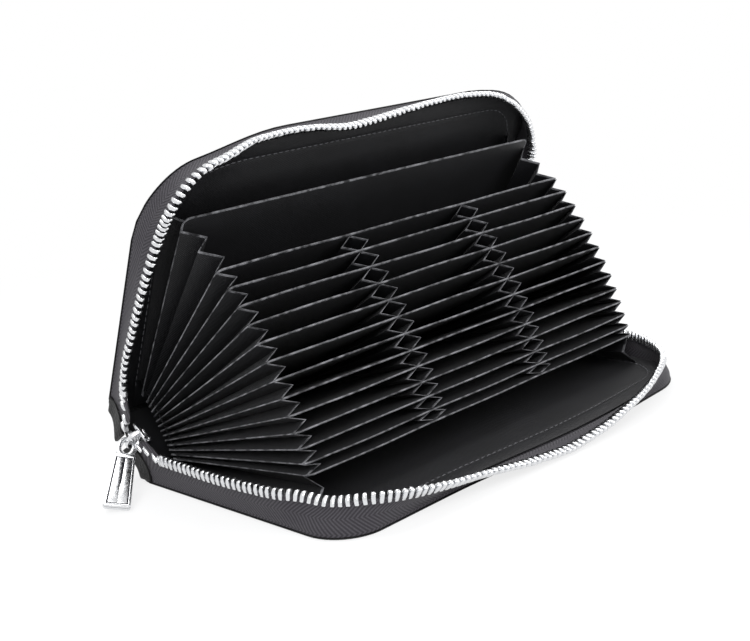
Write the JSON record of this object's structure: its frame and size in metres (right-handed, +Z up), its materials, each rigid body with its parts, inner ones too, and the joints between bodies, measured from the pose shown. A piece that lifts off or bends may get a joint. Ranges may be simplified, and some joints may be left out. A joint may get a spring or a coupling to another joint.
{
  "type": "zip wallet",
  "caption": "Zip-around accordion card wallet lying open in a V: two leather covers, a fan of card pockets and a zip with slider.",
  "frame": {"origin": "middle of the front cover's outer face, on which the open wallet lies", "axes": "+X along the spine away from the parked slider, +Y towards the spine, +Z up"},
  "size_m": [0.2198, 0.1274, 0.115],
  "materials": {
    "leather": "fine pebbled grain, satin",
    "board": "matt grey board",
    "lining": "satin weave",
    "leaf_fabric": "satin weave over a stiff core",
    "zip_tape": "herringbone weave, matt",
    "zip_metal": "bright plated"
  },
  "bodies": {
    "front_cover": {"front_cover_leather": "leather", "front_cover_board": "board", "front_cover_lining": "lining", "front_zip_tape_near": "zip_tape", "front_zip_tape_far": "zip_tape", "front_zip_teeth_near": "zip_metal", "front_zip_teeth_far": "zip_metal", "front_top_stop": "zip_metal", "front_far_tab": "leather"},
    "front_zip_flap": {"front_zip_tape_long": "zip_tape", "front_zip_teeth_long": "zip_metal"},
    "spine": {"spine_leather": "leather", "spine_lining": "lining", "near_tab_front": "leather", "near_tab_rear": "leather", "bottom_stop": "zip_metal"},
    "rear_cover": {"rear_cover_leather": "leather", "rear_cover_board": "board", "rear_cover_lining": "lining", "rear_zip_tape_near": "zip_tape", "rear_zip_tape_long": "zip_tape", "rear_zip_tape_far": "zip_tape", "rear_zip_teeth_near": "zip_metal", "rear_zip_teeth_long": "zip_metal", "rear_zip_teeth_far": "zip_metal", "rear_top_stop": "zip_metal", "rear_far_tab": "leather"},
    "rear_bill_divider": {"rear_bill_divider": "leaf_fabric", "wide_pocket_gusset": "lining", "rear_bill_gusset": "lining"},
    "card_leaf_01": {"card_leaf_01": "leaf_fabric", "row_gusset_01": "lining"},
    "card_leaf_02": {"card_leaf_02": "leaf_fabric", "row_gusset_02": "lining"},
    "card_leaf_03": {"card_leaf_03": "leaf_fabric", "row_gusset_03": "lining"},
    "card_leaf_04": {"card_leaf_04": "leaf_fabric", "row_gusset_04": "lining"},
    "card_leaf_05": {"card_leaf_05": "leaf_fabric", "row_gusset_05": "lining"},
    "card_leaf_06": {"card_leaf_06": "leaf_fabric", "row_gusset_06": "lining"},
    "card_leaf_07": {"card_leaf_07": "leaf_fabric", "row_gusset_07": "lining"},
    "card_leaf_08": {"card_leaf_08": "leaf_fabric", "row_gusset_08": "lining"},
    "card_leaf_09": {"card_leaf_09": "leaf_fabric", "row_gusset_09": "lining"},
    "card_leaf_10": {"card_leaf_10": "leaf_fabric", "row_gusset_10": "lining"},
    "card_leaf_11": {"card_leaf_11": "leaf_fabric", "row_gusset_11": "lining"},
    "card_leaf_12": {"card_leaf_12": "leaf_fabric", "row_gusset_12": "lining"},
    "card_leaf_13": {"card_leaf_13": "leaf_fabric", "front_bill_gusset": "lining"},
    "slider": {"slider_body": "zip_metal", "slider_bridge": "zip_metal"},
    "puller": {"puller": "zip_metal"}
  },
  "joints": [
    {"name": "cover_opening", "type": "hinge", "parent": "front_cover", "child": "spine", "pos_m": [0, 0.051, 0], "axis": [1, 0, 0], "range_deg": [0, 32.8]},
    {"name": "rear_cover_fold", "type": "hinge", "parent": "spine", "child": "rear_cover", "pos_m": [0, 0.06536, 0.02227], "axis": [1, 0, 0], "range_deg": [0, 32.8]},
    {"name": "front_flap_fold", "type": "hinge", "parent": "front_cover", "child": "front_zip_flap", "pos_m": [0, -0.0502, 0.0015], "axis": [1, 0, 0], "range_deg": [-80, 0]},
    {"name": "divider_fold", "type": "hinge", "parent": "spine", "child": "rear_bill_divider", "pos_m": [0, 0.06008, 0.02074], "axis": [1, 0, 0], "range_deg": [0, 27.7], "deforming": ["wide_pocket_gusset", "rear_bill_gusset"]},
    {"name": "leaf_01_fold", "type": "hinge", "parent": "spine", "child": "card_leaf_01", "pos_m": [0, 0.05932, 0.01956], "axis": [1, 0, 0], "range_deg": [0, 13.9], "deforming": ["row_gusset_01"]},
    {"name": "leaf_02_fold", "type": "hinge", "parent": "spine", "child": "card_leaf_02", "pos_m": [0, 0.05856, 0.01838], "axis": [1, 0, 0], "range_deg": [0, 9.82], "deforming": ["row_gusset_02"]},
    {"name": "leaf_03_fold", "type": "hinge", "parent": "spine", "child": "card_leaf_03", "pos_m": [0, 0.05781, 0.01721], "axis": [1, 0, 0], "range_deg": [0, 5.83], "deforming": ["row_gusset_03"]},
    {"name": "leaf_04_fold", "type": "hinge", "parent": "spine", "child": "card_leaf_04", "pos_m": [0, 0.05705, 0.01603], "axis": [1, 0, 0], "range_deg": [0, 1.93], "deforming": ["row_gusset_04"]},
    {"name": "leaf_05_fold", "type": "hinge", "parent": "spine", "child": "card_leaf_05", "pos_m": [0, 0.05629, 0.01485], "axis": [1, 0, 0], "range_deg": [-1.87, 0], "deforming": ["row_gusset_05"]},
    {"name": "leaf_06_fold", "type": "hinge", "parent": "spine", "child": "card_leaf_06", "pos_m": [0, 0.05553, 0.01368], "axis": [1, 0, 0], "range_deg": [-5.55, 0], "deforming": ["row_gusset_06"]},
    {"name": "leaf_07_fold", "type": "hinge", "parent": "spine", "child": "card_leaf_07", "pos_m": [0, 0.05477, 0.0125], "axis": [1, 0, 0], "range_deg": [-9.11, 0], "deforming": ["row_gusset_07"]},
    {"name": "leaf_08_fold", "type": "hinge", "parent": "spine", "child": "card_leaf_08", "pos_m": [0, 0.05401, 0.01132], "axis": [1, 0, 0], "range_deg": [-12.53, 0], "deforming": ["row_gusset_08"]},
    {"name": "leaf_09_fold", "type": "hinge", "parent": "spine", "child": "card_leaf_09", "pos_m": [0, 0.05326, 0.01015], "axis": [1, 0, 0], "range_deg": [-15.78, 0], "deforming": ["row_gusset_09"]},
    {"name": "leaf_10_fold", "type": "hinge", "parent": "spine", "child": "card_leaf_10", "pos_m": [0, 0.0525, 0.00897], "axis": [1, 0, 0], "range_deg": [-18.85, 0], "deforming": ["row_gusset_10"]},
    {"name": "leaf_11_fold", "type": "hinge", "parent": "spine", "child": "card_leaf_11", "pos_m": [0, 0.05174, 0.00779], "axis": [1, 0, 0], "range_deg": [-21.68, 0], "deforming": ["row_gusset_11"]},
    {"name": "leaf_12_fold", "type": "hinge", "parent": "spine", "child": "card_leaf_12", "pos_m": [0, 0.05098, 0.00662], "axis": [1, 0, 0], "range_deg": [-24.17, 0], "deforming": ["row_gusset_12"]},
    {"name": "leaf_13_fold", "type": "hinge", "parent": "spine", "child": "card_leaf_13", "pos_m": [0, 0.05022, 0.00544], "axis": [1, 0, 0], "range_deg": [-26, 0], "deforming": ["front_bill_gusset"]},
    {"name": "slider_travel", "type": "slide", "parent": "spine", "child": "slider", "axis": [0, -0.8406, 0.5417], "range_m": [0, 0.005]},
    {"name": "puller_swing", "type": "hinge", "parent": "slider", "child": "puller", "pos_m": [-0.1018, 0.05086, 0.01585], "axis": [0, 0.8406, -0.5417], "range_deg": [0, 100]}
  ],
  "couplings": [
    {"joint": "rear_cover_fold", "follows": "cover_opening", "ratio": 1},
    {"joint": "front_flap_fold", "follows": "cover_opening", "ratio": -2.439},
    {"joint": "divider_fold", "follows": "cover_opening", "ratio": 0.84451},
    {"joint": "leaf_01_fold", "follows": "cover_opening", "ratio": 0.42378},
    {"joint": "leaf_02_fold", "follows": "cover_opening", "ratio": 0.29936},
    {"joint": "leaf_03_fold", "follows": "cover_opening", "ratio": 0.17764},
    {"joint": "leaf_04_fold", "follows": "cover_opening", "ratio": 0.058798},
    {"joint": "leaf_05_fold", "follows": "cover_opening", "ratio": -0.056906},
    {"joint": "leaf_06_fold", "follows": "cover_opening", "ratio": -0.16918},
    {"joint": "leaf_07_fold", "follows": "cover_opening", "ratio": -0.27767},
    {"joint": "leaf_08_fold", "follows": "cover_opening", "ratio": -0.38188},
    {"joint": "leaf_09_fold", "follows": "cover_opening", "ratio": -0.48118},
    {"joint": "leaf_10_fold", "follows": "cover_opening", "ratio": -0.57464},
    {"joint": "leaf_11_fold", "follows": "cover_opening", "ratio": -0.6608},
    {"joint": "leaf_12_fold", "follows": "cover_opening", "ratio": -0.73685},
    {"joint": "leaf_13_fold", "follows": "cover_opening", "ratio": -0.79268}
  ]
}
